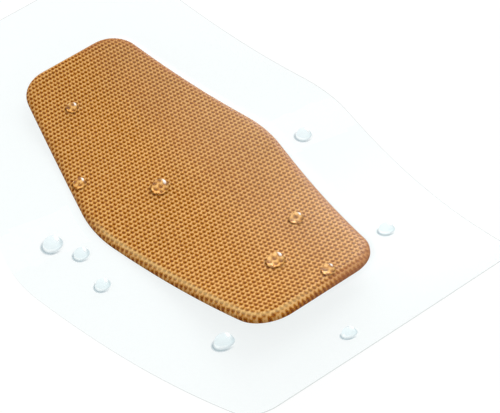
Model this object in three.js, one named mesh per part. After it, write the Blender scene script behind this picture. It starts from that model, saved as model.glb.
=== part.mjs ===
// A clear adhesive bandage: one transparent film, an absorbent pad with a ribbed net face under it, and beads
// of water standing on the film. Millimetres, +Z up, resting on the underside of the film and the pad.
// Everything is drawn on the flat cut first, as along (length), across (width) and up (height over the sheet's
// underside), and then bent: the middle stays flat, and the two ends curl up as arcs.
import * as THREE from "three";

// Film: a long hexagon, wider at the middle of its long sides than at its ends
const FILM_LENGTH = 89;
const FILM_MIDDLE_WIDTH = 54.7;
const FILM_END_WIDTH = 37.4;
const FILM_END_ROUND = 3.5;
const FILM_SIDE_ROUND = 27;
const FILM_THICKNESS = 0.12;

// Pad: a narrower hexagon of the same kind
const PAD_LENGTH = 63.4;
const PAD_MIDDLE_WIDTH = 30.3;
const PAD_END_WIDTH = 18.1;
const PAD_END_ROUND = 5;
const PAD_SIDE_ROUND = 22;
const PAD_THICKNESS = 0.95;
const PAD_WALL_HEIGHT = 0.4;
const PAD_EDGE_WIDTH = 1.5;
const PAD_EDGE_SHAPE = [
  { inward: 0, rise: 0 },
  { inward: 0.22, rise: 0.58 },
  { inward: 0.58, rise: 0.9 },
  { inward: 1, rise: 1 },
];

// Net face of the pad: one rib for each row of openings
const RIB_PITCH = 0.755;
const RIB_DEPTH = 0.12;

// How the film steps down round the pad, and the clearance that it keeps to it
const TENT_WIDTH = 1.1;
const TENT_SHAPE = [
  { outward: 1, rise: 0 },
  { outward: 0.45, rise: 0.32 },
];
const SHEET_GAP = 0.1;

// Curl: the bend lines stand at this angle to the pad's rows
const CURL_TURN = -10.4;
const CURL_RADIUS_FRONT = 82;
const CURL_RADIUS_BACK = 99;
const FLAT_WIDTH = 8.6;

// Water: each bead's place on the flat cut and its width
const DROP_GAP = 0.06;
const DROP_HEIGHT_SHARE = 0.43;
const DROP_FOOT_SHARE = 0.86;
const DROPS = [
  { along: -21.8, across: -5.3, width: 2.1 },
  { along: -7.9, across: -12.2, width: 2.2 },
  { along: 0.7, across: -4.1, width: 2.9 },
  { along: 18.9, across: 5.8, width: 2.1 },
  { along: 23.7, across: -1.2, width: 2.7 },
  { along: 30.3, across: 2.0, width: 1.9 },
  { along: 5.3, across: 17.9, width: 2.6 },
  { along: 28.6, across: 12.7, width: 2.3 },
  { along: 41.0, across: -3.7, width: 2.0 },
  { along: -1.3, across: -20.6, width: 3.1 },
  { along: 2.8, across: -18.4, width: 2.4 },
  { along: 9.6, across: -19.0, width: 2.3 },
  { along: 30.2, across: -13.7, width: 2.8 },
];

// Fineness of the facets
const FILM_STATION_STEP = 8;
const MARGIN_RINGS = 3;
const ACROSS_CELLS = 4;
const CORNER_TURN = 9;
const DROP_SIDES = 14;
const DROP_RINGS = 5;

const film = {
  length: FILM_LENGTH,
  middle: FILM_MIDDLE_WIDTH,
  end: FILM_END_WIDTH,
  endRound: FILM_END_ROUND,
  sideRound: FILM_SIDE_ROUND,
};
const pad = {
  length: PAD_LENGTH,
  middle: PAD_MIDDLE_WIDTH,
  end: PAD_END_WIDTH,
  endRound: PAD_END_ROUND,
  sideRound: PAD_SIDE_ROUND,
};

// Half of a hexagon's upper edge, from its middle (along 0) to its end: the point of the outline whose
// distance along is the given one, with the outline's outward normal there.
function outlineAt(shape, along) {
  const halfLength = shape.length / 2;
  const side = Math.sign(along);
  const a = Math.min(Math.abs(along), halfLength);
  const slope = Math.atan2((shape.middle - shape.end) / 2, halfLength);
  const sideCentre = shape.middle / 2 - shape.sideRound / Math.cos(slope);
  const sideReach = shape.sideRound * Math.sin(slope);
  const endCentreAlong = halfLength - shape.endRound;
  const endCentreAcross =
    shape.middle / 2 - Math.tan(slope) * endCentreAlong - shape.endRound / Math.cos(slope);
  const endReach = endCentreAlong + shape.endRound * Math.sin(slope);
  if (a <= sideReach) {
    const rise = Math.sqrt(shape.sideRound ** 2 - a ** 2);
    return { along, across: sideCentre + rise, normal: [along / shape.sideRound, rise / shape.sideRound] };
  }
  if (a >= endReach) {
    const reach = (a - endCentreAlong) / shape.endRound;
    const rise = Math.sqrt(Math.max(0, 1 - reach ** 2));
    return { along, across: endCentreAcross + shape.endRound * rise, normal: [side * reach, rise] };
  }
  return {
    along,
    across: shape.middle / 2 - Math.tan(slope) * a,
    normal: [side * Math.sin(slope), Math.cos(slope)],
  };
}

// Distances along the pad at which its ribs have their crests and valleys, with finer steps at its round corners
function padLines() {
  const halfLength = PAD_LENGTH / 2;
  const count = Math.round(PAD_LENGTH / RIB_PITCH) * 2;
  const ribs = Array.from({ length: count + 1 }, (_, i) => ({
    along: (i / count - 0.5) * PAD_LENGTH,
    crest: i % 2 === 1,
  }));
  const firstRib = Math.acos(1 - PAD_LENGTH / count / PAD_END_ROUND);
  const steps = Math.ceil(firstRib / THREE.MathUtils.degToRad(CORNER_TURN));
  const corner = [];
  for (let i = 1; i < steps; i++) {
    const along = halfLength - PAD_END_ROUND * (1 - Math.cos((firstRib * i) / steps));
    corner.push({ along, crest: false }, { along: -along, crest: false });
  }
  return [...ribs, ...corner].sort((a, b) => a.along - b.along);
}

// The film follows every line at the pad's corners, and every few lines along its sides.
function filmLines() {
  const lines = padLines();
  const cornerReach = PAD_LENGTH / 2 - PAD_END_ROUND;
  return lines.filter(
    ({ along }, i) =>
      Math.abs(along) > cornerReach || (i - (lines.length - 1) / 2) % FILM_STATION_STEP === 0,
  );
}

// Points between two others, in even steps
function between(a, b, cells) {
  return Array.from({ length: cells - 1 }, (_, k) => a.map((value, i) => value + ((b[i] - value) * (k + 1)) / cells));
}

// Pads and films are closed by rings of points: the upper side of the outline from back to front, across the
// front end, the lower side from front to back, and across the back end. Each point is [along, across, up].
function ringAt(shape, lines, scale, outward, up) {
  const upper = lines.map((line) => {
    const at = outlineAt(shape, line.along * scale);
    const lift = typeof up === "function" ? up(line) : up;
    return [at.along + at.normal[0] * outward, at.across + at.normal[1] * outward, lift];
  });
  const lower = upper.map(([along, across, lift]) => [along, -across, lift]).reverse();
  const front = between(upper.at(-1), lower[0], ACROSS_CELLS);
  const back = between(lower.at(-1), upper[0], ACROSS_CELLS);
  return [...upper, ...front, ...lower, ...back];
}

function mixRings(ringA, ringB, share) {
  return ringA.map((a, i) => a.map((value, k) => value + (ringB[i][k] - value) * share));
}

// Bends a point of the flat cut to where it lies.
function bent([along, across, up]) {
  const turn = THREE.MathUtils.degToRad(CURL_TURN);
  const down = along * Math.cos(turn) + across * Math.sin(turn);
  const beside = -along * Math.sin(turn) + across * Math.cos(turn);
  const radius = down > 0 ? CURL_RADIUS_FRONT : CURL_RADIUS_BACK;
  const flat = Math.min(Math.abs(down), FLAT_WIDTH / 2);
  const angle = (Math.abs(down) - flat) / radius;
  const moved = Math.sign(down) * (flat + (radius - up) * Math.sin(angle));
  return [
    moved * Math.cos(turn) - beside * Math.sin(turn),
    moved * Math.sin(turn) + beside * Math.cos(turn),
    radius - (radius - up) * Math.cos(angle),
  ];
}

// One closed solid from rings that follow each other from the underside to the top. The first and the last
// ring are filled by lines straight across the sheet.
function sheetSolid(rings) {
  const points = [];
  const faces = [];
  const add = (point) => points.push(bent(point)) - 1;
  const quad = (a, b, c, d) => faces.push([a, b, c], [a, c, d]);
  const ids = rings.map((ring) => ring.map(add));
  const size = rings[0].length;
  for (let r = 0; r + 1 < ids.length; r++) {
    for (let j = 0; j < size; j++) {
      const next = (j + 1) % size;
      quad(ids[r][j], ids[r + 1][j], ids[r + 1][next], ids[r][next]);
    }
  }
  const lines = size / 2 - (ACROSS_CELLS - 1);
  const fill = (ring, ringIds, facesUp) => {
    const rungs = [[ringIds[0], ...ringIds.slice(2 * lines + ACROSS_CELLS - 2).reverse()]];
    for (let i = 1; i < lines - 1; i++) {
      const j = 2 * lines + ACROSS_CELLS - 2 - i;
      rungs.push([ringIds[i], ...between(ring[i], ring[j], ACROSS_CELLS).map(add), ringIds[j]]);
    }
    rungs.push(ringIds.slice(lines - 1, lines + ACROSS_CELLS));
    for (let i = 0; i + 1 < rungs.length; i++) {
      for (let k = 0; k < ACROSS_CELLS; k++) {
        const corners = [rungs[i][k], rungs[i + 1][k], rungs[i + 1][k + 1], rungs[i][k + 1]];
        quad(...(facesUp ? corners.reverse() : corners));
      }
    }
  };
  fill(rings[0], ids[0], false);
  fill(rings.at(-1), ids.at(-1), true);
  return closedGeometry(points, faces);
}

function closedGeometry(points, faces) {
  const geometry = new THREE.BufferGeometry();
  geometry.setAttribute("position", new THREE.Float32BufferAttribute(points.flat(), 3));
  geometry.setIndex(faces.flat());
  geometry.computeVertexNormals();
  return geometry;
}

// The pad's section from its edge inwards: how far in, and how high
const padSection = PAD_EDGE_SHAPE.map(({ inward, rise }) => ({
  inset: PAD_EDGE_WIDTH * inward,
  up: PAD_WALL_HEIGHT + (PAD_THICKNESS - PAD_WALL_HEIGHT) * rise,
}));

// The underside of the film over the same section, and down to the level of the pad's underside
const filmSection = [
  ...TENT_SHAPE.map(({ outward, rise }) => ({
    inset: -SHEET_GAP - TENT_WIDTH * outward,
    up: PAD_WALL_HEIGHT * rise,
  })),
  ...padSection.map(({ inset, up }) => ({ inset: inset - SHEET_GAP, up: up + SHEET_GAP })),
];

function absorbentPad() {
  const lines = padLines();
  const ribbed = ({ up, inset }) => (line) => up - (line.crest || inset === 0 ? 0 : RIB_DEPTH);
  return sheetSolid([
    ringAt(pad, lines, 1, 0, 0),
    ...padSection.map((at) => ringAt(pad, lines, 1, -at.inset, ribbed(at))),
  ]);
}

function clearFilm() {
  const lines = filmLines();
  const overPad = filmSection.map(({ inset, up }) => ringAt(pad, lines, 1, -inset, up));
  const edge = ringAt(film, lines, FILM_LENGTH / PAD_LENGTH, 0, 0);
  const margin = [];
  for (let i = 1; i < MARGIN_RINGS; i++) {
    margin.push(mixRings(overPad[0], edge, i / MARGIN_RINGS));
  }
  const underside = [...overPad.toReversed(), ...margin, edge];
  const raised = (ring) => ring.map(([along, across, up]) => [along, across, up + FILM_THICKNESS]);
  return sheetSolid([...underside, ...underside.toReversed().map(raised)]);
}

// How far a point of the flat cut lies inside the pad's outline, or outside it as a negative value
function insetInPad(along, across) {
  const outline = padLines().map((line) => outlineAt(pad, line.along));
  const v = Math.abs(across);
  const end = outline.at(-1);
  let nearest = Math.abs(along) <= pad.length / 2 && v <= end.across ? pad.length / 2 - Math.abs(along) : Infinity;
  outline.forEach((at) => {
    nearest = Math.min(nearest, Math.hypot(at.along - along, at.across - v));
  });
  const inside = Math.abs(along) < pad.length / 2 && v < outlineAt(pad, along).across;
  return inside ? nearest : -nearest;
}

// Height of the film's top at a point of the flat cut
function filmTop(along, across) {
  const inset = insetInPad(along, across);
  const i = filmSection.findIndex((at) => at.inset > inset);
  if (i === 0) return FILM_THICKNESS;
  if (i < 0) return filmSection.at(-1).up + FILM_THICKNESS;
  const low = filmSection[i - 1];
  const high = filmSection[i];
  const share = (inset - low.inset) / (high.inset - low.inset);
  return low.up + (high.up - low.up) * share + FILM_THICKNESS;
}

// A bead: a round, nearly half-round drop whose foot follows the film under it.
function waterDrop({ along, across, width }) {
  const height = width * DROP_HEIGHT_SHARE;
  const radius = width / 2;
  const foot = Math.acos(DROP_FOOT_SHARE);
  const profile = [new THREE.Vector2(0, 0)];
  for (let i = 0; i <= DROP_RINGS; i++) {
    const angle = -foot + ((Math.PI / 2 + foot) * i) / DROP_RINGS;
    const lift = (Math.sin(angle) + Math.sin(foot)) / (1 + Math.sin(foot));
    profile.push(new THREE.Vector2(i === DROP_RINGS ? 0 : radius * Math.cos(angle), height * lift));
  }
  const geometry = new THREE.LatheGeometry(profile, DROP_SIDES);
  const position = geometry.getAttribute("position");
  const middle = filmTop(along, across);
  for (let i = 0; i < position.count; i++) {
    const u = along + position.getX(i);
    const v = across - position.getZ(i);
    const share = position.getY(i) / height;
    const up = filmTop(u, v) * (1 - share) + middle * share + DROP_GAP + position.getY(i);
    position.setXYZ(i, ...bent([u, v, up]));
  }
  return geometry;
}

function namedMesh(name, geometry, material) {
  const mesh = new THREE.Mesh(geometry, material);
  mesh.name = name;
  return mesh;
}

const filmMaterial = new THREE.MeshStandardMaterial({
  color: 0xf1fcfd,
  roughness: 0.12,
  metalness: 0,
  transparent: true,
  opacity: 0.3,
});
const padMaterial = new THREE.MeshStandardMaterial({ color: 0xd9975a, roughness: 0.85, metalness: 0 });
const waterMaterial = new THREE.MeshStandardMaterial({
  color: 0xe3f3fa,
  roughness: 0.02,
  metalness: 0,
  transparent: true,
  opacity: 0.4,
});

const bandage = new THREE.Group();
const filmMesh = namedMesh("clear_film", clearFilm(), filmMaterial);
bandage.add(filmMesh);
bandage.add(namedMesh("absorbent_pad", absorbentPad(), padMaterial));
DROPS.forEach((drop, i) => {
  const name = `water_drop_${String(i + 1).padStart(2, "0")}`;
  bandage.add(namedMesh(name, waterDrop(drop), waterMaterial));
});

// The origin is the middle of the film's base, as the bandage lies.
filmMesh.geometry.computeBoundingBox();
const centre = filmMesh.geometry.boundingBox.getCenter(new THREE.Vector3());
bandage.position.set(-centre.x, -centre.y, 0);

export default bandage;
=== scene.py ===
"""The clear adhesive bandage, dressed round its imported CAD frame.

One clear film lies over a tan absorbent pad with a netted face, and thirteen beads of water stand on the
film. The film and the pad are drawn in millimetres on the flat cut, as along (length), across (width) and up
(height over the sheet's underside). Curl bends each point to where it lies and turns it into metres.
"""

import logging
import math
from dataclasses import dataclass, field
from enum import Enum
from typing import Any

import bpy
import numpy as np
from mathutils import Euler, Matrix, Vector

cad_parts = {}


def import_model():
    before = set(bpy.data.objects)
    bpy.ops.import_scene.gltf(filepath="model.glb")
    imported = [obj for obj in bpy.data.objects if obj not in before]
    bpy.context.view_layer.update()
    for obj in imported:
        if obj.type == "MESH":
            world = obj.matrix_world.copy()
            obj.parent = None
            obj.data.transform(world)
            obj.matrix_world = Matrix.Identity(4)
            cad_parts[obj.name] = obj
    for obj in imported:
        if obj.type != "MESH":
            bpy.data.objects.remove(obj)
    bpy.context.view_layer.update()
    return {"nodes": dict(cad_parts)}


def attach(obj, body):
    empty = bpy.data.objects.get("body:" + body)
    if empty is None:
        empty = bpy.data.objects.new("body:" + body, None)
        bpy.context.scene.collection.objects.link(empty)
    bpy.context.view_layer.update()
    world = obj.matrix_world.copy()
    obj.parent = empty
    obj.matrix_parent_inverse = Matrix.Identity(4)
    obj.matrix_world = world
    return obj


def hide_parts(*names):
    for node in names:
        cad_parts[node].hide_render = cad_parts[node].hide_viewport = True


LOG = logging.getLogger("bandage")

MM = 0.001
BODY = "root"
CUT_MAP = "cut"
RIM_ATTRIBUTE = "rim"
EDGE_HIGHLIGHT_ATTRIBUTE = "painted_edge_highlight"
WALL_ATTRIBUTE = "wall"
PAINTED_SHADOW_ATTRIBUTE = "shade"
PAINTED_GLOW_ATTRIBUTE = "glow"
PAINTED_HIGHLIGHT_ATTRIBUTE = "painted_highlight"
DEPTH_ATTRIBUTE = "depth"

# UV units of the cut map: one unit is this many millimetres, and the middle of the cut is at a half
CUT_MAP_SPAN = 100.0

# Sockets of Blender's Mix node when it mixes colours
MIX_A = 6
MIX_B = 7
MIX_RESULT = 2

# Settings that several nodes share
COLOURS = {"data_type": "RGBA"}
SUBTRACT = {"operation": "SUBTRACT"}
MULTIPLY = {"operation": "MULTIPLY"}
MULTIPLY_ADD = {"operation": "MULTIPLY_ADD"}
LARGER = {"operation": "MAXIMUM"}
FLAT_NOISE = {"noise_dimensions": "2D"}
EASED = {"interpolation_type": "SMOOTHSTEP"}

# Steps along each side and round each end corner of an outline that is measured
MEASURED_SIDE = 400
MEASURED_CORNER = 40

# Number of the film's second finish
CUT_EDGE = 1


class Slot(Enum):
    """Names of the material slots."""

    FILM = "clear_film"
    PAD = "pad_net"
    WATER = "water"


class Lay(Enum):
    """How a sheet is held."""

    LAID = "laid"


class WaterFace(Enum):
    """The finishes of a bead, by their number on it."""

    ON_FILM = 0
    OVER_NET = 1
    WETTED = 2


def linear(colour: str) -> tuple[float, float, float, float]:
    """Turns an sRGB hex colour into the linear colour that a shader takes.

    Args:
        colour: The colour as #rrggbb.

    Returns:
        Red, green, blue and a full alpha.
    """
    parts = [int(colour[i : i + 2], 16) / 255 for i in (1, 3, 5)]
    levels = [p / 12.92 if p <= 0.04045 else ((p + 0.055) / 1.055) ** 2.4 for p in parts]
    return (levels[0], levels[1], levels[2], 1.0)


def add_node(
    tree: bpy.types.NodeTree,
    kind: str,
    settings: dict[str, Any] | None = None,
    inputs: dict[str | int, Any] | None = None,
) -> bpy.types.Node:
    """Adds one node with its settings and links.

    Args:
        tree: The node tree that it goes into.
        kind: Blender's name for the node.
        settings: Values of the node's own properties.
        inputs: A value for each named or numbered socket, or the output socket that is linked to it.

    Returns:
        The new node.
    """
    node = tree.nodes.new(kind)
    for name, value in (settings or {}).items():
        setattr(node, name, value)
    for key, value in (inputs or {}).items():
        if isinstance(value, bpy.types.NodeSocket):
            tree.links.new(value, node.inputs[key])
        else:
            node.inputs[key].default_value = value
    return node


def empty_material(name: str) -> bpy.types.Material:
    """Makes a material with an empty node tree."""
    material = bpy.data.materials.new(name)
    material.use_nodes = True
    material.node_tree.nodes.clear()
    return material


def smooth_line(points: list[tuple[float, float]], steps: int) -> list[tuple[float, float]]:
    """Runs a smooth line through points of a section.

    Args:
        points: The section's own points, in order.
        steps: How many pieces each stretch between two points is cut into.

    Returns:
        The points of a Catmull-Rom line through them, ends included.
    """
    at = np.array([points[0], *points, points[-1]], float)
    line = []
    for i in range(1, len(at) - 2):
        before, start, end, after = at[i - 1 : i + 3]
        for t in np.arange(steps) / steps:
            line.append(
                0.5
                * (
                    2 * start
                    + (end - before) * t
                    + (2 * before - 5 * start + 4 * end - after) * t**2
                    + (3 * start - before - 3 * end + after) * t**3
                )
            )
    line.append(at[-1])
    return [(float(x), float(y)) for x, y in line]


@dataclass(frozen=True)
class Curl:
    """How the flat cut is bent: its middle stays flat, and its two ends curl up as arcs.

    Attributes:
        turn: Angle of the bend lines to the pad's rows, in radians.
        radius_front: Bend radius of the front half, in millimetres.
        radius_back: Bend radius of the back half, in millimetres.
        flat_width: Width of the flat strip in the middle, in millimetres.
        centre: The film's middle before it is moved to the frame's origin, in millimetres.
    """

    turn: float = math.radians(-10.4)
    radius_front: float = 82.0
    radius_back: float = 99.0
    flat_width: float = 8.6
    centre: tuple[float, float] = (-0.185, 0.0)

    def place(self, cut: np.ndarray) -> np.ndarray:
        """Bends points of the flat cut to where they lie.

        Args:
            cut: Rows of along, across and up, in millimetres.

        Returns:
            Rows of x, y and z in the frame, in metres.
        """
        along, across, up = cut.T
        down = along * math.cos(self.turn) + across * math.sin(self.turn)
        beside = across * math.cos(self.turn) - along * math.sin(self.turn)
        radius = np.where(down > 0, self.radius_front, self.radius_back)
        flat = np.minimum(np.abs(down), self.flat_width / 2)
        angle = (np.abs(down) - flat) / radius
        moved = np.sign(down) * (flat + (radius - up) * np.sin(angle))
        x = moved * math.cos(self.turn) - beside * math.sin(self.turn) - self.centre[0]
        y = moved * math.sin(self.turn) + beside * math.cos(self.turn) - self.centre[1]
        z = radius - (radius - up) * np.cos(angle)
        return np.stack([x, y, z], axis=1) * MM

    def flatten(self, placed: np.ndarray) -> np.ndarray:
        """Finds where points of the bent bandage are on the flat cut.

        Args:
            placed: Rows of x, y and z in the frame, in metres.

        Returns:
            Rows of along, across and up, in millimetres.
        """
        x, y, z = placed.T / MM
        x = x + self.centre[0]
        y = y + self.centre[1]
        moved = x * math.cos(self.turn) + y * math.sin(self.turn)
        beside = y * math.cos(self.turn) - x * math.sin(self.turn)
        radius = np.where(moved > 0, self.radius_front, self.radius_back)
        flat = np.minimum(np.abs(moved), self.flat_width / 2)
        angle = np.arctan2(np.abs(moved) - flat, radius - z)
        up = radius - np.hypot(np.abs(moved) - flat, radius - z)
        down = np.sign(moved) * (flat + angle * radius)
        along = down * math.cos(self.turn) - beside * math.sin(self.turn)
        across = down * math.sin(self.turn) + beside * math.cos(self.turn)
        return np.stack([along, across, up], axis=1)


@dataclass(frozen=True)
class Hexagon:
    """A long hexagon with rounded corners, in millimetres: the cut of the film, and of the pad.

    Attributes:
        length: Its length.
        middle: Its width where the long sides' corners would meet.
        end: Its width where the end corners would meet.
        end_round: Radius of the four end corners.
        side_round: Radius of the two corners in the middle of the long sides.
    """

    length: float
    middle: float
    end: float
    end_round: float
    side_round: float

    @property
    def slope(self) -> float:
        """Angle between a long side and the middle line, in radians."""
        return math.atan2((self.middle - self.end) / 2, self.length / 2)

    @property
    def corner_centre(self) -> tuple[float, float]:
        """Centre of the front upper corner's arc, as along and across."""
        along = self.length / 2 - self.end_round
        return along, self.middle / 2 - math.tan(self.slope) * along - self.end_round / math.cos(self.slope)

    def stations(self, side_steps: int, corner_steps: int) -> np.ndarray:
        """Distances along at which the outline is drawn, from the back end to the front.

        Args:
            side_steps: Steps between the corners.
            corner_steps: Steps round each end corner.

        Returns:
            The distances, closer together at the round corners.
        """
        centre = self.corner_centre[0]
        turns = np.linspace(self.slope, math.pi / 2, corner_steps + 1)
        corner = centre + self.end_round * np.sin(turns)
        sides = np.linspace(-corner[0], corner[0], side_steps + 1)
        return np.concatenate([-corner[:0:-1], sides, corner[1:]])

    def edge(self, along: np.ndarray, inset: float) -> np.ndarray:
        """Points of the upper edge, moved inwards.

        Args:
            along: Their distances along the outline itself.
            inset: How far in they are moved, or out if it's negative.

        Returns:
            Rows of along and across.
        """
        reach = np.abs(along)
        side = np.sign(along)
        side_reach = self.side_round * math.sin(self.slope)
        side_centre = self.middle / 2 - self.side_round / math.cos(self.slope)
        end_along, end_across = self.corner_centre
        end_reach = end_along + self.end_round * math.sin(self.slope)
        rise = np.sqrt(np.maximum(self.side_round**2 - along**2, 0))
        share = np.clip((reach - end_along) / self.end_round, 0, 1)
        fall = np.sqrt(np.maximum(1 - share**2, 0))
        across = self.middle / 2 - math.tan(self.slope) * reach
        across = np.where(reach <= side_reach, side_centre + rise, across)
        across = np.where(reach >= end_reach, end_across + self.end_round * fall, across)
        out_along = np.full_like(along, math.sin(self.slope)) * side
        out_across = np.full_like(along, math.cos(self.slope))
        out_along = np.where(reach <= side_reach, along / self.side_round, out_along)
        out_across = np.where(reach <= side_reach, rise / self.side_round, out_across)
        out_along = np.where(reach >= end_reach, side * share, out_along)
        out_across = np.where(reach >= end_reach, fall, out_across)
        return np.stack([along - out_along * inset, across - out_across * inset], axis=1)

    def ring(self, along: np.ndarray, cells: int, inset: float, up: float) -> np.ndarray:
        """A closed ring of points: the upper edge, the front end, the lower edge and the back end.

        Args:
            along: Distances of the edge points along the outline.
            cells: Steps across each end.
            inset: How far inside the outline the ring lies.
            up: Its height.

        Returns:
            Rows of along, across and up, clockwise from above.
        """
        upper = self.edge(along, inset)
        lower = upper[::-1] * (1, -1)
        share = np.arange(1, cells)[:, None] / cells
        front = upper[-1] + (lower[0] - upper[-1]) * share
        back = lower[-1] + (upper[0] - lower[-1]) * share
        flat = np.concatenate([upper, front, lower, back])
        return np.column_stack([flat, np.full(len(flat), up)])

    def inset_at(self, points: np.ndarray) -> np.ndarray:
        """How far inside the outline points lie, or outside it as a negative number."""
        stations = self.stations(MEASURED_SIDE, MEASURED_CORNER)
        ring = self.ring(stations, MEASURED_CORNER, 0, 0)[:, :2]
        near = np.array([np.hypot(*(ring - p).T).min() for p in points])
        front = self.edge(stations[stations >= 0], 0)
        width = np.interp(np.abs(points[:, 0]), *front.T)
        inside = (np.abs(points[:, 0]) < self.length / 2) & (np.abs(points[:, 1]) < width)
        return np.where(inside, near, -near)

    def area(self) -> float:
        """Area inside the outline, in square metres."""
        x, y = self.ring(self.stations(MEASURED_SIDE, MEASURED_CORNER), 1, 0, 0)[:, :2].T
        return abs(float(np.dot(x, np.roll(y, -1)) - np.dot(y, np.roll(x, -1)))) / 2 * MM**2


@dataclass
class CutMesh:
    """A mesh drawn on the flat cut: points, faces between them, and each face's material.

    Attributes:
        curl: How the cut is bent.
        points: Blocks of rows of along, across and up.
        faces: The faces, as numbers of points.
        finishes: The material number of each face.
    """

    curl: Curl
    points: list[np.ndarray] = field(default_factory=list)
    faces: list[tuple[int, ...]] = field(default_factory=list)
    finishes: list[int] = field(default_factory=list)

    def add(self, block: np.ndarray) -> np.ndarray:
        """Adds a block of points and returns their numbers."""
        start = sum(len(b) for b in self.points)
        self.points.append(block)
        return np.arange(start, start + len(block))

    def band(self, low: np.ndarray, high: np.ndarray, finish: int = 0) -> None:
        """Joins two closed rings, the lower or outer one first where they face up."""
        for a, b, c, d in zip(low, high, np.roll(high, -1), np.roll(low, -1)):
            self.faces.append((int(a), int(b), int(c), int(d)))
            self.finishes.append(finish)

    def fill(self, ring: np.ndarray, numbers: np.ndarray, cells: int, facing_up: bool) -> None:
        """Fills a ring with rows of cells across it.

        Args:
            ring: The ring's points.
            numbers: Their numbers.
            cells: Cells across the ring's ends.
            facing_up: True for a top, and False for an underside.
        """
        lines = len(ring) // 2 - (cells - 1)
        rungs = [np.concatenate([numbers[:1], numbers[2 * lines + cells - 2 :][::-1]])]
        share = np.arange(1, cells)[:, None] / cells
        for i in range(1, lines - 1):
            j = 2 * lines + cells - 2 - i
            inner = self.add(ring[i] + (ring[j] - ring[i]) * share)
            rungs.append(np.concatenate([numbers[i : i + 1], inner, numbers[j : j + 1]]))
        rungs.append(numbers[lines - 1 : lines + cells])
        for left, right in zip(rungs, rungs[1:]):
            for k in range(cells):
                corners = (int(left[k]), int(right[k]), int(right[k + 1]), int(left[k + 1]))
                self.faces.append(corners[::-1] if facing_up else corners)
                self.finishes.append(0)

    def piece(self, name: str, relief: np.ndarray | None = None) -> bpy.types.Object:
        """Bends the cut and makes it an object with its cut map.

        Args:
            name: The object's name.
            relief: How far each point is lowered, in millimetres.

        Returns:
            The object, at the origin.
        """
        cut = np.concatenate(self.points)
        if relief is not None:
            cut = cut - np.column_stack([np.zeros((len(cut), 2)), relief])
        mesh = bpy.data.meshes.new(name)
        mesh.from_pydata(self.curl.place(cut).tolist(), [], self.faces)
        layer = mesh.uv_layers.new(name=CUT_MAP)
        corner = np.zeros(len(mesh.loops), int)
        mesh.loops.foreach_get("vertex_index", corner)
        layer.data.foreach_set("uv", (cut[corner, :2] / CUT_MAP_SPAN + 0.5).astype(np.float32).ravel())
        mesh.polygons.foreach_set("material_index", self.finishes)
        mesh.validate()
        piece = bpy.data.objects.new(name, mesh)
        bpy.context.collection.objects.link(piece)
        return piece


def shade_smooth(piece: bpy.types.Object, angle: float) -> None:
    """Shades a piece smooth, apart from edges sharper than an angle in degrees."""
    bpy.ops.object.select_all(action="DESELECT")
    piece.select_set(True)
    bpy.context.view_layer.objects.active = piece
    bpy.ops.object.shade_smooth_by_angle(angle=math.radians(angle))


def put_up(piece: bpy.types.Object, node: str) -> None:
    """Rides a piece on the body in place of its CAD node, which it hides."""
    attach(piece, BODY)
    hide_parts(node)


@dataclass(frozen=True)
class Wave:
    """One of the waves that add up to the net's lattice.

    Attributes:
        rows: Half turns of the wave from one row to the next.
        openings: Turns of the wave from one opening to the next of its row.
        lag: How far the wave is ahead, in radians.
        weight: How much it counts.
    """

    rows: int
    openings: int
    lag: float
    weight: float


@dataclass(frozen=True)
class Net:
    """The lattice of the pad's net: rows of oblong openings, each row half a step beside the last.

    Attributes:
        row_pitch: Distance from row to row, in millimetres.
        opening_pitch: Distance between openings of one row, in millimetres.
        skew: How far the rows slide across for each millimetre along.
        waves: The ribs between the rows, the two slants of the openings, and the bend of the ribs.
    """

    row_pitch: float = 63.4 / 84
    opening_pitch: float = 0.61
    skew: float = 0.058
    waves: tuple[Wave, ...] = (
        Wave(2, 0, 0.0, 0.78),
        Wave(1, 1, 0.0, 0.5),
        Wave(-1, 1, -0.7, 0.66),
        Wave(3, 1, math.pi, 0.22),
    )

    def openness(self, cut: np.ndarray) -> np.ndarray:
        """How open the net is: most in an opening, and under nothing on its threads."""
        along, across = cut[:, 0], cut[:, 1]
        row = math.pi * along / self.row_pitch
        opening = math.tau * (across + self.skew * along) / self.opening_pitch
        return sum(w.weight * np.cos(w.rows * row + w.openings * opening + w.lag) for w in self.waves)


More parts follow.
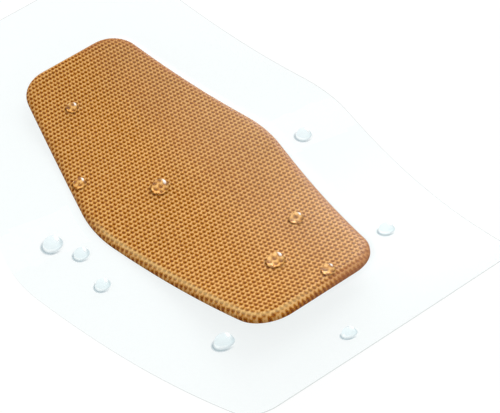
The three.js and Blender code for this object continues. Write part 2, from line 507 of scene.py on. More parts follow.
@dataclass(frozen=True)
class NetFinish:
    """Polyester net knitted over a viscose core, dyed tan: matt pale threads round dark openings.

    Attributes:
        net: The lattice that the colours follow.
        thread: Colour of the threads' crowns.
        body: Colour of their sides, partly painted shade.
        opening: Colour of the core in the openings, darkened further by painted shade.
        rim: Colour of the darker rim.
        painted_edge_highlight: Colour of the painted highlight along the lower edge.
        painted_sheen: Colour of the painted sheen that the net is lightened towards.
        crown_levels: Openness at which the crowns' colour starts and is full.
        opening_levels: Openness at which the openings' colour starts and is full.
        edge_highlight_share: How much of the painted highlight shows.
        sheen_middle: Share of painted sheen in the middle of the pad.
        sheen_along: Its growth for each millimetre along.
        sheen_across: Its growth for each millimetre across.
        mottle: How far the dye's depth varies.
        dye_scale: Patches of dye for each millimetre.
        pull: How far uneven yarn opens and closes the net.
        pull_scale: Patches of pull for each millimetre.
        fibre_scale: Fibres for each millimetre.
        fibre_depth: Their depth, in millimetres.
        roughness: How matt the yarn is.
        ior: The polyester's index of refraction.
        gloss: How much of its gloss is left on the fibres.
    """

    net: Net
    thread: str = "#f8bc72"
    body: str = "#c6791d"
    opening: str = "#874000"
    rim: str = "#a6561a"
    painted_edge_highlight: str = "#ffda98"
    painted_sheen: str = "#fff0dc"
    crown_levels: tuple[float, float] = (0.2, -1.1)
    opening_levels: tuple[float, float] = (0.1, 1.5)
    edge_highlight_share: float = 0.42
    sheen_middle: float = 0.014
    sheen_along: float = 0.0006
    sheen_across: float = 0.007
    mottle: float = 0.05
    dye_scale: float = 0.16
    pull: float = 0.34
    pull_scale: float = 1.3
    fibre_scale: float = 9.0
    fibre_depth: float = 0.05
    roughness: float = 0.78
    ior: float = 1.45
    gloss: float = 0.08

    def material(self) -> bpy.types.Material:
        """Makes the material on the cut map, so that the pattern follows the bent pad."""
        made = empty_material("knitted_polyester_net_tan")
        tree = made.node_tree
        cut = add_node(tree, "ShaderNodeUVMap", {"uv_map": CUT_MAP})
        middle = add_node(
            tree,
            "ShaderNodeVectorMath",
            MULTIPLY_ADD,
            {0: cut.outputs[0], 1: (CUT_MAP_SPAN,) * 3, 2: (-CUT_MAP_SPAN / 2,) * 3},
        )
        place = add_node(tree, "ShaderNodeSeparateXYZ", None, {0: middle.outputs[0]})
        along, across = place.outputs[0], place.outputs[1]

        # The same lattice as the relief, wave by wave
        row = add_node(
            tree, "ShaderNodeMath", MULTIPLY, {0: along, 1: math.pi / self.net.row_pitch}
        )
        slid = add_node(
            tree, "ShaderNodeMath", MULTIPLY_ADD, {0: along, 1: self.net.skew, 2: across}
        )
        openness: bpy.types.NodeSocket | float = 0.0
        for wave in self.net.waves:
            turned = add_node(
                tree, "ShaderNodeMath", MULTIPLY_ADD, {0: row.outputs[0], 1: float(wave.rows), 2: wave.lag}
            )
            angle = add_node(
                tree,
                "ShaderNodeMath",
                MULTIPLY_ADD,
                {
                    0: slid.outputs[0],
                    1: wave.openings * math.tau / self.net.opening_pitch,
                    2: turned.outputs[0],
                },
            )
            level = add_node(tree, "ShaderNodeMath", {"operation": "COSINE"}, {0: angle.outputs[0]})
            openness = add_node(
                tree, "ShaderNodeMath", MULTIPLY_ADD, {0: level.outputs[0], 1: wave.weight, 2: openness}
            ).outputs[0]

        # Uneven pull of the yarn, about one opening wide, makes some openings wider than others
        pull = add_node(
            tree,
            "ShaderNodeTexNoise",
            FLAT_NOISE,
            {"Vector": middle.outputs[0], "Scale": self.pull_scale, "Detail": 2.0, "Roughness": 0.6},
        )
        uneven = add_node(
            tree,
            "ShaderNodeMapRange",
            None,
            {0: pull.outputs[0], 1: 0.25, 2: 0.75, 3: -self.pull, 4: self.pull},
        )
        pulled = add_node(
            tree, "ShaderNodeMath", {"operation": "ADD"}, {0: openness, 1: uneven.outputs[0]}
        )
        # Colour falls from the crowns down the threads' sides into the openings: the yarn's and core's own
        # colours, with painted shade of the relief laid into them
        crown, deep = self.crown_levels, self.opening_levels
        on_thread = add_node(
            tree,
            "ShaderNodeMapRange",
            EASED,
            {0: pulled.outputs[0], 1: crown[0], 2: crown[1], 3: 0.0, 4: 1.0},
        )
        in_opening = add_node(
            tree,
            "ShaderNodeMapRange",
            EASED,
            {0: pulled.outputs[0], 1: deep[0], 2: deep[1], 3: 0.0, 4: 1.0},
        )
        threads = add_node(
            tree,
            "ShaderNodeMix",
            COLOURS,
            {0: on_thread.outputs[0], MIX_A: linear(self.body), MIX_B: linear(self.thread)},
        )
        netted = add_node(
            tree,
            "ShaderNodeMix",
            COLOURS,
            {0: in_opening.outputs[0], MIX_A: threads.outputs[MIX_RESULT], MIX_B: linear(self.opening)},
        )

        # The net is darker at the rim, more so and wider on the pad's upper long side
        rim = add_node(tree, "ShaderNodeAttribute", {"attribute_name": RIM_ATTRIBUTE})
        drawn = add_node(
            tree,
            "ShaderNodeMix",
            COLOURS,
            {0: rim.outputs["Fac"], MIX_A: netted.outputs[MIX_RESULT], MIX_B: linear(self.rim)},
        )

        # Painted highlight: a pale line along the edge's round on the front half of the lower side, where a
        # lamp's reflection in the film would lie
        painted_edge_highlight = add_node(tree, "ShaderNodeAttribute", {"attribute_name": EDGE_HIGHLIGHT_ATTRIBUTE})
        edge_highlight_amount = add_node(
            tree, "ShaderNodeMath", MULTIPLY, {0: painted_edge_highlight.outputs["Fac"], 1: self.edge_highlight_share}
        )
        with_edge_highlight = add_node(
            tree,
            "ShaderNodeMix",
            COLOURS,
            {0: edge_highlight_amount.outputs[0], MIX_A: drawn.outputs[MIX_RESULT], MIX_B: linear(self.painted_edge_highlight)},
        )

        # Painted sheen: the net is lightened a little towards its upper long side and its front end,
        # standing in for the film's glare there
        sheen_slant = add_node(
            tree, "ShaderNodeMath", MULTIPLY_ADD, {0: along, 1: self.sheen_along, 2: self.sheen_middle}
        )
        painted_sheen_share = add_node(
            tree,
            "ShaderNodeMath",
            {"operation": "MULTIPLY_ADD", "use_clamp": True},
            {0: across, 1: self.sheen_across, 2: sheen_slant.outputs[0]},
        )
        painted_sheen = add_node(
            tree,
            "ShaderNodeMix",
            COLOURS,
            {0: painted_sheen_share.outputs[0], MIX_A: with_edge_highlight.outputs[MIX_RESULT], MIX_B: linear(self.painted_sheen)},
        )

        # Dye takes a little unevenly, in patches of about 6 mm
        dye = add_node(
            tree,
            "ShaderNodeTexNoise",
            FLAT_NOISE,
            {"Vector": middle.outputs[0], "Scale": self.dye_scale, "Detail": 3.0},
        )
        shade = add_node(
            tree,
            "ShaderNodeMapRange",
            None,
            {0: dye.outputs[0], 1: 0.3, 2: 0.7, 3: 1 - self.mottle / 2, 4: 1 + self.mottle / 2},
        )
        dyed = add_node(
            tree,
            "ShaderNodeVectorMath",
            {"operation": "SCALE"},
            {0: painted_sheen.outputs[MIX_RESULT], "Scale": shade.outputs[0]},
        )

        # Fibres of about 0.1 mm break up the light on each thread
        fibre = add_node(
            tree,
            "ShaderNodeTexNoise",
            FLAT_NOISE,
            {"Vector": middle.outputs[0], "Scale": self.fibre_scale, "Detail": 2.0},
        )
        bump = add_node(
            tree,
            "ShaderNodeBump",
            None,
            {"Strength": 0.5, "Distance": self.fibre_depth * MM, "Height": fibre.outputs[0]},
        )
        cloth = add_node(
            tree,
            "ShaderNodeBsdfPrincipled",
            None,
            {
                "Base Color": dyed.outputs[0],
                "Roughness": self.roughness,
                "IOR": self.ior,
                "Specular IOR Level": self.gloss,
                "Normal": bump.outputs[0],
            },
        )
        add_node(tree, "ShaderNodeOutputMaterial", None, {"Surface": cloth.outputs[0]})
        return made


@dataclass(frozen=True)
class FilmFinish:
    """Cast polyurethane film: clear, faintly cyan, with a low sheen where it leans away from the eye.

    Attributes:
        tint: The colour that it gives to what lies behind it.
        ior: How much it mirrors. It is lower than real film's, so that its sheen stays faint.
        roughness: How soft its mirror image is.
        wave_scale: Waves for each metre.
        wave_depth: Their depth, in millimetres.
    """

    tint: str = "#fcfefe"
    ior: float = 1.17
    roughness: float = 0.22
    wave_scale: float = 140.0
    wave_depth: float = 0.12

    def material(self) -> bpy.types.Material:
        """Makes the film, which lets light straight through and mirrors a little on its outer face."""
        made = empty_material("cast_polyurethane_film_clear")
        tree = made.node_tree
        see = add_node(tree, "ShaderNodeBsdfTransparent", None, {"Color": linear(self.tint)})
        place = add_node(tree, "ShaderNodeTexCoord")

        # The cast film waves by less than a tenth of a millimetre over about 7 mm
        wave = add_node(
            tree,
            "ShaderNodeTexNoise",
            None,
            {"Vector": place.outputs["Object"], "Scale": self.wave_scale, "Detail": 2.0},
        )
        bump = add_node(
            tree,
            "ShaderNodeBump",
            None,
            {"Strength": 0.6, "Distance": self.wave_depth * MM, "Height": wave.outputs[0]},
        )
        mirror = add_node(
            tree,
            "ShaderNodeBsdfGlossy",
            None,
            {"Color": linear("#ffffff"), "Roughness": self.roughness, "Normal": bump.outputs[0]},
        )
        fresnel = add_node(tree, "ShaderNodeFresnel", None, {"IOR": self.ior, "Normal": bump.outputs[0]})
        face = add_node(tree, "ShaderNodeNewGeometry")
        outer = add_node(
            tree, "ShaderNodeMath", SUBTRACT, {0: 1.0, 1: face.outputs["Backfacing"]}
        )
        share = add_node(
            tree, "ShaderNodeMath", MULTIPLY, {0: fresnel.outputs[0], 1: outer.outputs[0]}
        )
        film = add_node(
            tree,
            "ShaderNodeMixShader",
            None,
            {0: share.outputs[0], 1: see.outputs[0], 2: mirror.outputs[0]},
        )
        add_node(tree, "ShaderNodeOutputMaterial", None, {"Surface": film.outputs[0]})
        return made


@dataclass(frozen=True)
class CutEdgeFinish:
    """The film's die-cut edge, where the eye looks along the sheet and sees its grey-green depth."""

    colour: str = "#8ba39b"
    alpha: float = 0.33
    roughness: float = 0.35
    ior: float = 1.5

    def material(self) -> bpy.types.Material:
        """Makes the edge, which is part clear."""
        made = empty_material("die_cut_film_edge")
        tree = made.node_tree
        edge = add_node(
            tree,
            "ShaderNodeBsdfPrincipled",
            None,
            {
                "Base Color": linear(self.colour),
                "Roughness": self.roughness,
                "IOR": self.ior,
                "Alpha": self.alpha,
            },
        )
        add_node(tree, "ShaderNodeOutputMaterial", None, {"Surface": edge.outputs[0]})
        return made


@dataclass(frozen=True)
class WaterFinish:
    """Clear water in a bead: it bends the light, and takes on a little of the colour that it stands on.

    A painted glow lights the inside of its rim on the side away from the lamps, and a painted shadow darkens
    what lies just outside that rim.

    Attributes:
        name: The material's name.
        tint: Colour of the deep water.
        shade: Colour of the painted shadow round the bead's rim.
        painted_light: Colour of the painted highlight and of the faint painted light over the dome.
        painted_glow_gain: How many times brighter the painted glow is, in linear red, green and blue.
        ior: How far light is bent. It is lower than real water's, so that the net shows through calmly.
        mirror_ior: How much the dome mirrors.
        mirror_roughness: How soft its mirror image is.
        ripple: How soft what shows through it is.
        held_back: Share of the light that still passes under the steep wall.
    """

    name: str = "clear_water"
    tint: str = "#f0fcff"
    shade: str = "#a7b8c0"
    painted_light: str = "#ffffff"
    painted_glow_gain: tuple[float, float, float, float] = (1.02, 1.04, 1.04, 1.0)
    ior: float = 1.2
    mirror_ior: float = 1.15
    mirror_roughness: float = 0.2
    ripple: float = 0.18
    held_back: float = 0.65

    def material(self) -> bpy.types.Material:
        """Makes the water's outer face."""
        made = empty_material(self.name)
        tree = made.node_tree
        glow = add_node(tree, "ShaderNodeAttribute", {"attribute_name": PAINTED_GLOW_ATTRIBUTE})
        shade = add_node(tree, "ShaderNodeAttribute", {"attribute_name": PAINTED_SHADOW_ATTRIBUTE})
        painted_highlight = add_node(tree, "ShaderNodeAttribute", {"attribute_name": PAINTED_HIGHLIGHT_ATTRIBUTE})
        wall = add_node(tree, "ShaderNodeAttribute", {"attribute_name": WALL_ATTRIBUTE})
        depth = add_node(tree, "ShaderNodeAttribute", {"attribute_name": DEPTH_ATTRIBUTE})
        deep = add_node(
            tree,
            "ShaderNodeMix",
            COLOURS,
            {0: depth.outputs["Fac"], MIX_A: linear("#ffffff"), MIX_B: linear(self.tint)},
        )
        # Painted glow: the inner rim on the side away from the lamps, and faintly the whole dome, are
        # brightened as if light gathered there
        painted_glow_mix = add_node(
            tree,
            "ShaderNodeMix",
            COLOURS,
            {0: glow.outputs["Fac"], MIX_A: deep.outputs[MIX_RESULT], MIX_B: self.painted_glow_gain},
        )
        # Painted shadow: the film just outside the rim, most on the side away from the lamps, is darkened
        colour = add_node(
            tree,
            "ShaderNodeMix",
            COLOURS,
            {0: shade.outputs["Fac"], MIX_A: painted_glow_mix.outputs[MIX_RESULT], MIX_B: linear(self.shade)},
        )
        bent = add_node(
            tree,
            "ShaderNodeBsdfRefraction",
            None,
            {"Color": colour.outputs[MIX_RESULT], "Roughness": self.ripple, "IOR": self.ior},
        )
        mirrored = add_node(
            tree,
            "ShaderNodeBsdfGlossy",
            None,
            {"Color": linear("#ffffff"), "Roughness": self.mirror_roughness},
        )

        # The steep wall mirrors only what lies low and dark round it
        fresnel = add_node(tree, "ShaderNodeFresnel", None, {"IOR": self.mirror_ior})
        dome = add_node(
            tree, "ShaderNodeMath", SUBTRACT, {0: 1.0, 1: wall.outputs["Fac"]}
        )
        share = add_node(
            tree, "ShaderNodeMath", MULTIPLY, {0: fresnel.outputs[0], 1: dome.outputs[0]}
        )
        clear = add_node(
            tree,
            "ShaderNodeMixShader",
            None,
            {0: share.outputs[0], 1: bent.outputs[0], 2: mirrored.outputs[0]},
        )

        # Painted highlight: a matt white patch on the far shoulder, and a faint painted light over the whole
        # dome, stand in for the lamps' light turned back from inside
        painted_light = add_node(
            tree,
            "ShaderNodeMix",
            COLOURS,
            {0: painted_highlight.outputs["Fac"], MIX_A: linear(self.painted_light), MIX_B: linear("#ffffff")},
        )
        turned = add_node(tree, "ShaderNodeBsdfDiffuse", None, {"Color": painted_light.outputs[MIX_RESULT]})
        water = add_node(
            tree,
            "ShaderNodeMixShader",
            None,
            {0: painted_highlight.outputs["Fac"], 1: clear.outputs[0], 2: turned.outputs[0]},
        )

        # Light on its way to what lies under the bead
        passed = add_node(
            tree,
            "ShaderNodeMapRange",
            None,
            {0: wall.outputs["Fac"], 1: 0.0, 2: 1.0, 3: 1.0, 4: self.held_back},
        )
        through = add_node(tree, "ShaderNodeBsdfTransparent", None, {"Color": passed.outputs[0]})
        path = add_node(tree, "ShaderNodeLightPath")
        light = add_node(
            tree,
            "ShaderNodeMath",
            LARGER,
            {0: path.outputs["Is Shadow Ray"], 1: path.outputs["Is Diffuse Ray"]},
        )
        both = add_node(
            tree,
            "ShaderNodeMixShader",
            None,
            {0: light.outputs[0], 1: water.outputs[0], 2: through.outputs[0]},
        )
        add_node(tree, "ShaderNodeOutputMaterial", None, {"Surface": both.outputs[0]})
        return made

    def wetted(self) -> bpy.types.Material:
        """Makes the water's foot, which wets the film, so that no light is turned back there."""
        made = empty_material("water_on_wet_film")
        tree = made.node_tree
        see = add_node(tree, "ShaderNodeBsdfTransparent", None, {"Color": linear("#ffffff")})
        add_node(tree, "ShaderNodeOutputMaterial", None, {"Surface": see.outputs[0]})
        return made


@dataclass
class AbsorbentPad:
    """The absorbent pad: a low, soft-edged hexagon whose face is a net with real openings.

    Lengths are in millimetres. The rim is darker on the pad's upper long side, and a painted highlight runs
    along the front half of the lower one.

    Attributes:
        curl: How the pad is bent.
        net: The lattice of its face.
        cut: Its outline.
        thickness: Its full thickness.
        wall_height: Height of its upright edge.
        edge_width: Width of the round from the edge to the face.
        edge_shape: Section of that round, as shares of its width and height.
        opening_depth: Depth of the net's openings.
        open_from: Openness at which an opening starts.
        open_range: Openness from there to its bottom.
        fade_height: Height over the upright edge in which the openings fade in.
        rim_width: Width of the dark rim.
        rim_share: How dark it is.
        upper_widening: Share by which it is wider on the upper side.
        upper_darkening: How much darker it is there.
        upper_fade: Distance across in which the upper side's rim comes in.
        edge_highlight_inset: Distance of the painted highlight's middle from the edge.
        edge_highlight_width: Its half width.
        edge_highlight_start: Where it starts along the pad.
        edge_highlight_fade: Distance in which it comes in.
        smooth_angle: Angle in degrees up to which faces shade as one.
        side_steps: Steps along each side.
        corner_steps: Steps round each end corner.
        section_steps: Steps in each stretch of the edge's section.
        cells: Cells across the pad.
    """

    curl: Curl
    net: Net
    cut: Hexagon = Hexagon(length=63.4, middle=30.3, end=18.1, end_round=5.0, side_round=22.0)
    thickness: float = 0.95
    wall_height: float = 0.4
    edge_width: float = 1.5
    edge_shape: tuple[tuple[float, float], ...] = ((0, 0), (0.22, 0.58), (0.58, 0.9), (1, 1))
    opening_depth: float = 0.14
    open_from: float = -0.5
    open_range: float = 2.2
    fade_height: float = 0.5
    rim_width: float = 0.9
    rim_share: float = 0.26
    upper_widening: float = 0.9
    upper_darkening: float = 0.5
    upper_fade: float = 3.0
    edge_highlight_inset: float = 0.75
    edge_highlight_width: float = 0.28
    edge_highlight_start: float = -2.0
    edge_highlight_fade: float = 4.0
    smooth_angle: float = 70.0
    side_steps: int = 300
    corner_steps: int = 14
    section_steps: int = 3
    cells: int = 152

    def section(self) -> list[tuple[float, float]]:
        """The pad's section from its edge inwards, as inset and height."""
        rise = self.thickness - self.wall_height
        points = [(self.edge_width * inward, self.wall_height + rise * up) for inward, up in self.edge_shape]
        return smooth_line(points, self.section_steps)

    def build(self) -> bpy.types.Object:
        """Makes the closed pad, with its openings pressed into the face."""
        draft = CutMesh(self.curl)
        along = self.cut.stations(self.side_steps, self.corner_steps)
        foot = self.cut.ring(along, self.cells, 0, 0)
        numbers = draft.add(foot)
        draft.fill(foot, numbers, self.cells, False)
        section = self.section()
        for inset, up in section:
            ring = self.cut.ring(along, self.cells, inset, up)
            above = draft.add(ring)
            draft.band(numbers, above)
            numbers = above
        draft.fill(ring, numbers, self.cells, True)
        cut = np.concatenate(draft.points)
        open_share = np.clip((self.net.openness(cut) - self.open_from) / self.open_range, 0, 1)
        on_face = np.clip((cut[:, 2] - self.wall_height) / self.fade_height, 0, 1)
        piece = draft.piece("absorbent_pad_net", self.opening_depth * open_share * on_face)
        self.mark_rim(piece, cut, section)
        piece.data.materials.append(NetFinish(self.net).material())
        shade_smooth(piece, self.smooth_angle)
        put_up(piece, "absorbent_pad")
        return piece

    def mark_rim(self, piece: bpy.types.Object, cut: np.ndarray, section: list[tuple[float, float]]) -> None:
        """Marks how much each point belongs to the pad's rim and to its painted highlight line, by its
        height on the round.

        Args:
            piece: The pad.
            cut: Its points on the flat cut.
            section: The edge's section, as inset and height.
        """
        insets, heights = np.array(section).T
        inset = np.interp(cut[:, 2], heights, insets)
        along, across = cut[:, 0], cut[:, 1]
        upper = np.clip(across / self.upper_fade, 0, 1)
        width = self.rim_width * (1 + self.upper_widening * upper)
        rim = np.clip(1 - inset / width, 0, 1) * (self.rim_share + self.upper_darkening * upper)
        front = np.clip((along - self.edge_highlight_start) / self.edge_highlight_fade, 0, 1)
        highlight_side = front * np.clip(-across / self.edge_highlight_fade, 0, 1)
        painted_edge_highlight = np.exp(-(((inset - self.edge_highlight_inset) / self.edge_highlight_width) ** 2)) * highlight_side
        for name, values in ((RIM_ATTRIBUTE, rim), (EDGE_HIGHLIGHT_ATTRIBUTE, painted_edge_highlight)):
            attribute = piece.data.attributes.new(name, "FLOAT", "POINT")
            attribute.data.foreach_set("value", values.astype(np.float32))


@dataclass
class ClearFilm:
    """The clear film: one sheet that lies over the pad, steps down round it and runs out to its cut edge."""

    curl: Curl
    pad: AbsorbentPad
    cut: Hexagon = Hexagon(length=89.0, middle=54.7, end=37.4, end_round=3.5, side_round=27.0)
    thickness: float = 0.12
    gap: float = 0.1
    tent: tuple[tuple[float, float], ...] = ((1.1, 0.0), (0.495, 0.32))
    side_steps: int = 90
    corner_steps: int = 12
    cells: int = 24
    margin_rings: int = 10
    section_steps: int = 3
    smooth_angle: float = 50.0

    def section(self) -> list[tuple[float, float]]:
        """The film's underside from the foot of its step inwards over the pad, as inset and height."""
        step = [(-self.gap - out, self.pad.wall_height * up) for out, up in self.tent]
        rise = self.pad.thickness - self.pad.wall_height
        over = [
            (self.pad.edge_width * inward - self.gap, self.pad.wall_height + rise * up + self.gap)
            for inward, up in self.pad.edge_shape
        ]
        return smooth_line([*step, *over], self.section_steps)

    def top_at(self, points: np.ndarray) -> np.ndarray:
        """Height of the film's top at points of the flat cut, in millimetres."""
        insets, heights = np.array(self.section()).T
        return np.interp(self.pad.cut.inset_at(points), insets, heights) + self.thickness

    def build(self) -> bpy.types.Object:
        """Makes the closed sheet with its thickness, and its cut edge as a finish of its own."""
        draft = CutMesh(self.curl)
        pad_along = self.pad.cut.stations(self.side_steps, self.corner_steps)
        film_along = self.cut.stations(self.side_steps, self.corner_steps)
        over = [self.pad.cut.ring(pad_along, self.cells, inset, up) for inset, up in self.section()]
        edge = self.cut.ring(film_along, self.cells, 0, 0)
        shares = np.arange(1, self.margin_rings) / self.margin_rings
        margin = [over[0] + (edge - over[0]) * share for share in shares]
        under = [*over[::-1], *margin, edge]
        raised = [ring + (0, 0, self.thickness) for ring in under]
        low = [draft.add(ring) for ring in under]
        high = [draft.add(ring) for ring in raised]
        draft.fill(under[0], low[0], self.cells, False)
        for inner, outer in zip(low, low[1:]):
            draft.band(inner, outer)
        draft.band(low[-1], high[-1], finish=CUT_EDGE)
        for inner, outer in zip(high, high[1:]):
            draft.band(outer, inner)
        draft.fill(raised[0], high[0], self.cells, True)
        piece = draft.piece("clear_film_sheet")
        piece.data.materials.append(FilmFinish().material())
        piece.data.materials.append(CutEdgeFinish().material())
        shade_smooth(piece, self.smooth_angle)
        put_up(piece, "clear_film")
        width = 2 * float(self.cut.edge(np.zeros(1), 0)[0, 1])
        self.cut.area()
        return piece


@dataclass(frozen=True)
class Band:
    """Where a bead looks different, as a share from 0 to 1 kept in an attribute of its points.

    Attributes:
        name: The attribute.
        reach: Its strength at shares of the bead's radius.
        toward: The side of the bead where it is strongest, as along and across.
        starts: Cosine of the angle from that side at which it starts.
        least: Its strength on the other sides.
    """

    name: str
    reach: tuple[tuple[float, float], ...]
    toward: tuple[float, float]
    starts: float = 0.0
    least: float = 0.0

    def values(self, out: np.ndarray, side: np.ndarray) -> np.ndarray:
        """Works out the share at points.

        Args:
            out: Their distances from the middle, as shares of the radius.
            side: Rows of their directions from the middle.

        Returns:
            The shares.
        """
        lobe = np.clip((side @ np.array(self.toward) - self.starts) / (1 - self.starts), 0, 1)
        return np.interp(out, *np.array(self.reach).T) * (self.least + (1 - self.least) * lobe)


@dataclass
class WaterBead:
    """One bead of water: a low dome with full shoulders, and a thin flat skirt round it that carries a
    painted shadow.

    Attributes:
        node: The CAD node that it replaces.
        curl: How the film is bent.
        film: What it stands on.
        gap: Distance over the film, in millimetres.
        cut_at: Latitude at which the sphere that it is made from is cut off, in degrees.
        lowness: Its height against the CAD node's.
        outline: Its section from the crown outwards, as shares of its radius and of its height, ending in a
            flat skirt that carries a painted shadow.
        bands: Where its water looks different, mostly painted shade and light.
        set_back: How far it stands from the CAD node's middle, in shares of its radius.
        foot_inset: How far the foot's inner ring lies inside its edge, in shares of the radius.
        tolerance: How near to the cut a point counts as on it, in shares of the radius.
        smooth_angle: Angle in degrees up to which faces shade as one.
        segments: Steps round it.
        rings: Rings of the sphere.
        section_steps: Steps in each stretch of its section.
    """

    node: str
    curl: Curl
    film: ClearFilm
    gap: float = 0.06
    cut_at: float = -30.0
    lowness: float = 0.95
    outline: tuple[tuple[float, float], ...] = (
        (0.0, 1.0),
        (0.4, 0.92),
        (0.65, 0.73),
        (0.81, 0.42),
        (0.88, 0.17),
        (0.94, 0.04),
        (1.22, 0.0),
    )
    # The wall and depth bands shape the water itself; the others are a painted shadow round the rim, a
    # painted glow inside it and a painted highlight on the far shoulder
    bands: tuple[Band, ...] = (
        Band(WALL_ATTRIBUTE, ((0.7, 0.0), (0.88, 1.0), (0.95, 1.0), (1.05, 0.0)), (0.0, 1.0), least=1.0),
        Band(DEPTH_ATTRIBUTE, ((0.86, 1.0), (0.94, 0.0)), (0.0, 1.0), least=1.0),
        Band(PAINTED_SHADOW_ATTRIBUTE, ((0.9, 0.0), (0.95, 1.0), (1.05, 0.8), (1.22, 0.0)), (0.36, -1.36), -0.1),
        Band(PAINTED_SHADOW_ATTRIBUTE, ((0.84, 0.0), (0.89, 0.4), (0.94, 0.0)), (0.0, 1.0), least=1.0),
        Band(PAINTED_SHADOW_ATTRIBUTE, ((0.68, 0.0), (0.77, 0.5), (0.86, 0.5), (0.92, 0.0)), (0.1, 1.0), 0.5),
        Band(PAINTED_GLOW_ATTRIBUTE, ((0.76, 0.0), (0.85, 1.0), (0.9, 1.0), (0.93, 0.0)), (0.26, -0.97), -0.3),
        Band(PAINTED_GLOW_ATTRIBUTE, ((0.0, 0.3), (0.72, 0.3), (0.84, 0.0)), (0.0, 1.0), least=1.0),
        Band(PAINTED_HIGHLIGHT_ATTRIBUTE, ((0.0, 0.13), (0.8, 0.13), (0.9, 0.0)), (0.0, 1.0), least=1.0),
        Band(PAINTED_HIGHLIGHT_ATTRIBUTE, ((0.32, 0.0), (0.42, 1.0), (0.62, 1.0), (0.68, 0.0)), (0.25, 0.97), 0.56),
    )
    set_back: tuple[float, float] = (-0.22, 0.2)
    foot_inset: float = 0.2
    tolerance: float = 1e-4
    smooth_angle: float = 45.0
    segments: int = 48
    rings: int = 36
    section_steps: int = 8

    def build(self, finishes: list[bpy.types.Material]) -> bpy.types.Object:
        """Models the bead in millimetres on the flat cut, and bends it to its CAD node's place.

        Args:
            finishes: Its finishes, in the order of WaterFace.

        Returns:
            The bead, at the origin.
        """
        points = [v.co for v in bpy.data.objects[self.node].data.vertices]
        cad = self.curl.flatten(np.array(points, float))
        low, high = cad.min(0), cad.max(0)
        radius = float((high - low)[:2].mean()) / 2
        middle = (low + high)[:2] / 2 + np.array(self.set_back) * radius
        height = (float(high[2] - self.film.top_at(middle[None])[0]) - self.gap) * self.lowness
        bpy.ops.object.select_all(action="DESELECT")
        bpy.ops.mesh.primitive_uv_sphere_add(segments=self.segments, ring_count=self.rings, radius=1)
        piece = bpy.context.object
        piece.name = self.node.replace("water_drop", "water_bead")
        bpy.ops.object.mode_set(mode="EDIT")
        bpy.ops.mesh.select_all(action="SELECT")
        bpy.ops.mesh.bisect(
            plane_co=(0, 0, math.sin(math.radians(self.cut_at))),
            plane_no=(0, 0, 1),
            clear_inner=True,
            use_fill=True,
        )
        bpy.ops.mesh.inset(thickness=self.foot_inset)
        bpy.ops.object.mode_set(mode="OBJECT")
        on_pad = self.film.pad.cut.inset_at(middle[None])[0] > 0
        self.shape(piece, radius, height, WaterFace.OVER_NET if on_pad else WaterFace.ON_FILM)
        self.settle(piece, middle, height)
        for finish in finishes:
            piece.data.materials.append(finish)
        shade_smooth(piece, self.smooth_angle)
        put_up(piece, self.node)
        return piece

    def shape(self, piece: bpy.types.Object, radius: float, height: float, outer: WaterFace) -> None:
        """Gives the cut sphere the bead's own section, its marks and its finishes.

        Args:
            piece: The cut sphere, of radius 1.
            radius: The bead's radius, in millimetres.
            height: The bead's height.
            outer: The finish of its outer face.
        """
        mesh = piece.data
        at = np.array([v.co for v in mesh.vertices])
        base = math.sin(math.radians(self.cut_at))
        foot = at[:, 2] < base + self.tolerance
        reach = np.hypot(at[:, 0], at[:, 1])
        latitude = np.degrees(np.arcsin(np.clip(at[:, 2], -1, 1)))
        run = np.array(smooth_line(list(self.outline), self.section_steps))
        steps = np.hypot(*np.diff(run, axis=0).T)
        length = np.concatenate([[0], np.cumsum(steps)]) / steps.sum()
        share = (90 - latitude) / (90 - self.cut_at)
        out = np.interp(share, length, run[:, 0])
        up = np.interp(share, length, run[:, 1])
        out = np.where(foot, reach / reach[foot].max() * run[-1, 0], out)
        up = np.where(foot, 0, up)
        side = at[:, :2] / np.maximum(reach, self.tolerance)[:, None]
        marks: dict[str, np.ndarray] = {}
        for band in self.bands:
            marks[band.name] = np.maximum(marks.get(band.name, 0), band.values(out, side))
        for name, values in marks.items():
            attribute = mesh.attributes.new(name, "FLOAT", "POINT")
            attribute.data.foreach_set("value", values.astype(np.float32))
        for face in mesh.polygons:
            finish = WaterFace.WETTED if all(foot[i] for i in face.vertices) else outer
            face.material_index = finish.value
        shaped = np.column_stack([side * (out * radius)[:, None], up * height])
        mesh.vertices.foreach_set("co", shaped.ravel())

    def settle(self, piece: bpy.types.Object, middle: np.ndarray, height: float) -> None:
        """Lets the bead's foot follow the film, and bends the bead to where it stands.

        Args:
            piece: The bead as shaped round the origin.
            middle: Its place on the flat cut.
            height: Its height.
        """
        mesh = piece.data
        shape = np.array([v.co for v in mesh.vertices])
        share = shape[:, 2] / height
        spot = shape[:, :2] + middle
        ground = self.film.top_at(spot) * (1 - share) + self.film.top_at(middle[None])[0] * share
        placed = self.curl.place(np.column_stack([spot, ground + self.gap + shape[:, 2]]))
        mesh.vertices.foreach_set("co", placed.ravel())
        mesh.update()


@dataclass(frozen=True)
class Softbox:
    """A rectangular studio lamp that looks at the bandage.

    Attributes:
        name: Its name.
        toward: Direction from the bandage to the lamp.
        size: Width and height, in metres.
        radiance: How bright its face is, where 1 is white.
        distance: How far away it stands, in metres.
    """

    name: str
    toward: tuple[float, float, float]
    size: tuple[float, float]
    radiance: float
    distance: float = 1.0

    def build(self) -> bpy.types.Object:
        """Makes the lamp."""
        away = Vector(self.toward).normalized()
        data = bpy.data.lights.new(self.name, "AREA")
        data.shape = "RECTANGLE"
        data.size, data.size_y = self.size
        data.energy = self.radiance * math.pi * self.size[0] * self.size[1]
        lamp = bpy.data.objects.new(self.name, data)
        lamp.location = away * self.distance
        lamp.rotation_euler = away.to_track_quat("Z", "Y").to_euler()
        bpy.context.collection.objects.link(lamp)
        return lamp


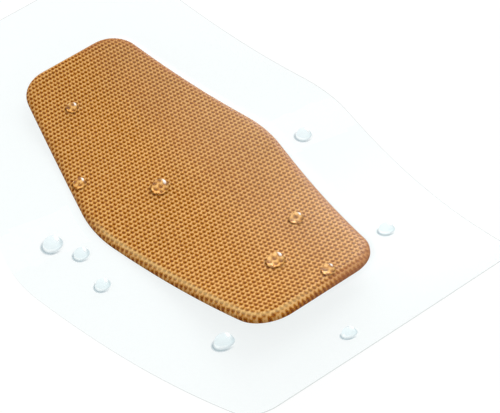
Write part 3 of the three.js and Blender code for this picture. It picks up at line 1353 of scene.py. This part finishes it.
@dataclass
class Studio:
    """The pale floor, the white surroundings, the lamps and the camera.

    Attributes:
        floor_size: Width of the floor, in metres.
        floor_colour: Colour of its card, which takes the lamps' light and the bandage's shadow.
        fill: Strength of the surroundings' light on surfaces, where 1 is white.
        floor_lift: Light of the floor's own that lifts it to white for the eye.
        lens: The camera's focal length, in millimetres.
        camera_place: Where it stands, in millimetres.
        camera_turn: How it is turned, in degrees.
        camera_near: Distance from which it sees, in metres.
        lamps: The lamps.
    """

    floor_size: float = 3.0
    floor_colour: str = "#808080"
    fill: float = 0.62
    floor_lift: float = 0.84
    lens: float = 65.0
    camera_place: tuple[float, float, float] = (82.78, -39.28, 90.71)
    camera_turn: tuple[float, float, float] = (42.43, 5.727, 52.764)
    camera_near: float = 0.005
    lamps: tuple[Softbox, ...] = (
        Softbox("key_softbox", (-0.1, 0.6, 0.78), (0.6, 0.6), 3.1),
        Softbox("back_softbox", (-0.62, 0.66, 0.42), (0.5, 0.45), 5.2),
    )

    def seen(self, tree: bpy.types.NodeTree) -> bpy.types.NodeSocket:
        """1 for rays that show the surroundings as a picture: the camera's, mirrored and through glass."""
        path = add_node(tree, "ShaderNodeLightPath")
        first = add_node(
            tree,
            "ShaderNodeMath",
            LARGER,
            {0: path.outputs["Is Camera Ray"], 1: path.outputs["Is Glossy Ray"]},
        )
        both = add_node(
            tree, "ShaderNodeMath", LARGER, {0: first.outputs[0], 1: path.outputs["Is Transmission Ray"]}
        )
        return both.outputs[0]

    def build_world(self) -> None:
        """Makes the surroundings: plain white to the eye, and a soft even fill to surfaces."""
        world = bpy.data.worlds.new("white_studio")
        world.use_nodes = True
        tree = world.node_tree
        tree.nodes.clear()
        strength = add_node(
            tree, "ShaderNodeMapRange", None, {0: self.seen(tree), 1: 0.0, 2: 1.0, 3: self.fill, 4: 1.0}
        )
        sky = add_node(
            tree,
            "ShaderNodeBackground",
            None,
            {"Color": linear("#ffffff"), "Strength": strength.outputs[0]},
        )
        add_node(tree, "ShaderNodeOutputWorld", None, {"Surface": sky.outputs[0]})
        bpy.context.scene.world = world

    def build_floor(self) -> bpy.types.Object:
        """Makes the floor: grey card, lifted to white for the eye, that keeps the bandage's shadow."""
        bpy.ops.object.select_all(action="DESELECT")
        bpy.ops.mesh.primitive_plane_add(size=self.floor_size)
        floor = bpy.context.object
        floor.name = "studio_floor"
        made = empty_material("white_card")
        tree = made.node_tree
        card = add_node(
            tree, "ShaderNodeBsdfDiffuse", None, {"Color": linear(self.floor_colour), "Roughness": 0.5}
        )
        strength = add_node(
            tree, "ShaderNodeMath", MULTIPLY, {0: self.seen(tree), 1: self.floor_lift}
        )
        glow = add_node(
            tree, "ShaderNodeEmission", None, {"Color": linear("#ffffff"), "Strength": strength.outputs[0]}
        )
        both = add_node(tree, "ShaderNodeAddShader", None, {0: card.outputs[0], 1: glow.outputs[0]})
        add_node(tree, "ShaderNodeOutputMaterial", None, {"Surface": both.outputs[0]})
        floor.data.materials.append(made)
        return floor

    def build_camera(self) -> bpy.types.Object:
        """Makes the camera at the photograph's angle."""
        data = bpy.data.cameras.new("camera")
        data.lens = self.lens
        data.clip_start = self.camera_near
        camera = bpy.data.objects.new("camera", data)
        camera.location = Vector(self.camera_place) * MM
        camera.rotation_euler = Euler([math.radians(a) for a in self.camera_turn])
        bpy.context.collection.objects.link(camera)
        bpy.context.scene.camera = camera
        return camera

    def build(self) -> None:
        """Makes the whole studio."""
        scene = bpy.context.scene
        scene.view_settings.view_transform = "Standard"
        self.build_world()
        self.build_floor()
        self.build_camera()
        for lamp in self.lamps:
            lamp.build()


def main() -> None:
    """Builds the bandage round its frame, and the studio round the bandage."""
    logging.basicConfig(level=logging.INFO, format="%(name)s: %(message)s")
    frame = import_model()
    Studio().build()
    curl = Curl()
    pad = AbsorbentPad(curl, Net())
    film = ClearFilm(curl, pad)
    pieces = [pad.build(), film.build()]
    on_film = WaterFinish()
    # Beads over the net take a warmer painted shadow, a yellow painted light and a stronger painted glow
    on_pad = WaterFinish(
        "clear_water_over_net",
        tint="#fffcf2",
        shade="#8f7a62",
        painted_light="#ffe09c",
        painted_glow_gain=(1.9, 1.85, 1.6, 1.0),
    )
    clear, over_net, wetted = on_film.material(), on_pad.material(), on_film.wetted()
    for node in sorted(n for n in frame["nodes"] if n.startswith("water_drop")):
        pieces.append(WaterBead(node, curl, film).build([clear, over_net, wetted]))
    for piece in pieces:
        LOG.info("%s: %d faces", piece.name, len(piece.data.polygons))


if __name__ == "__main__":
    main()
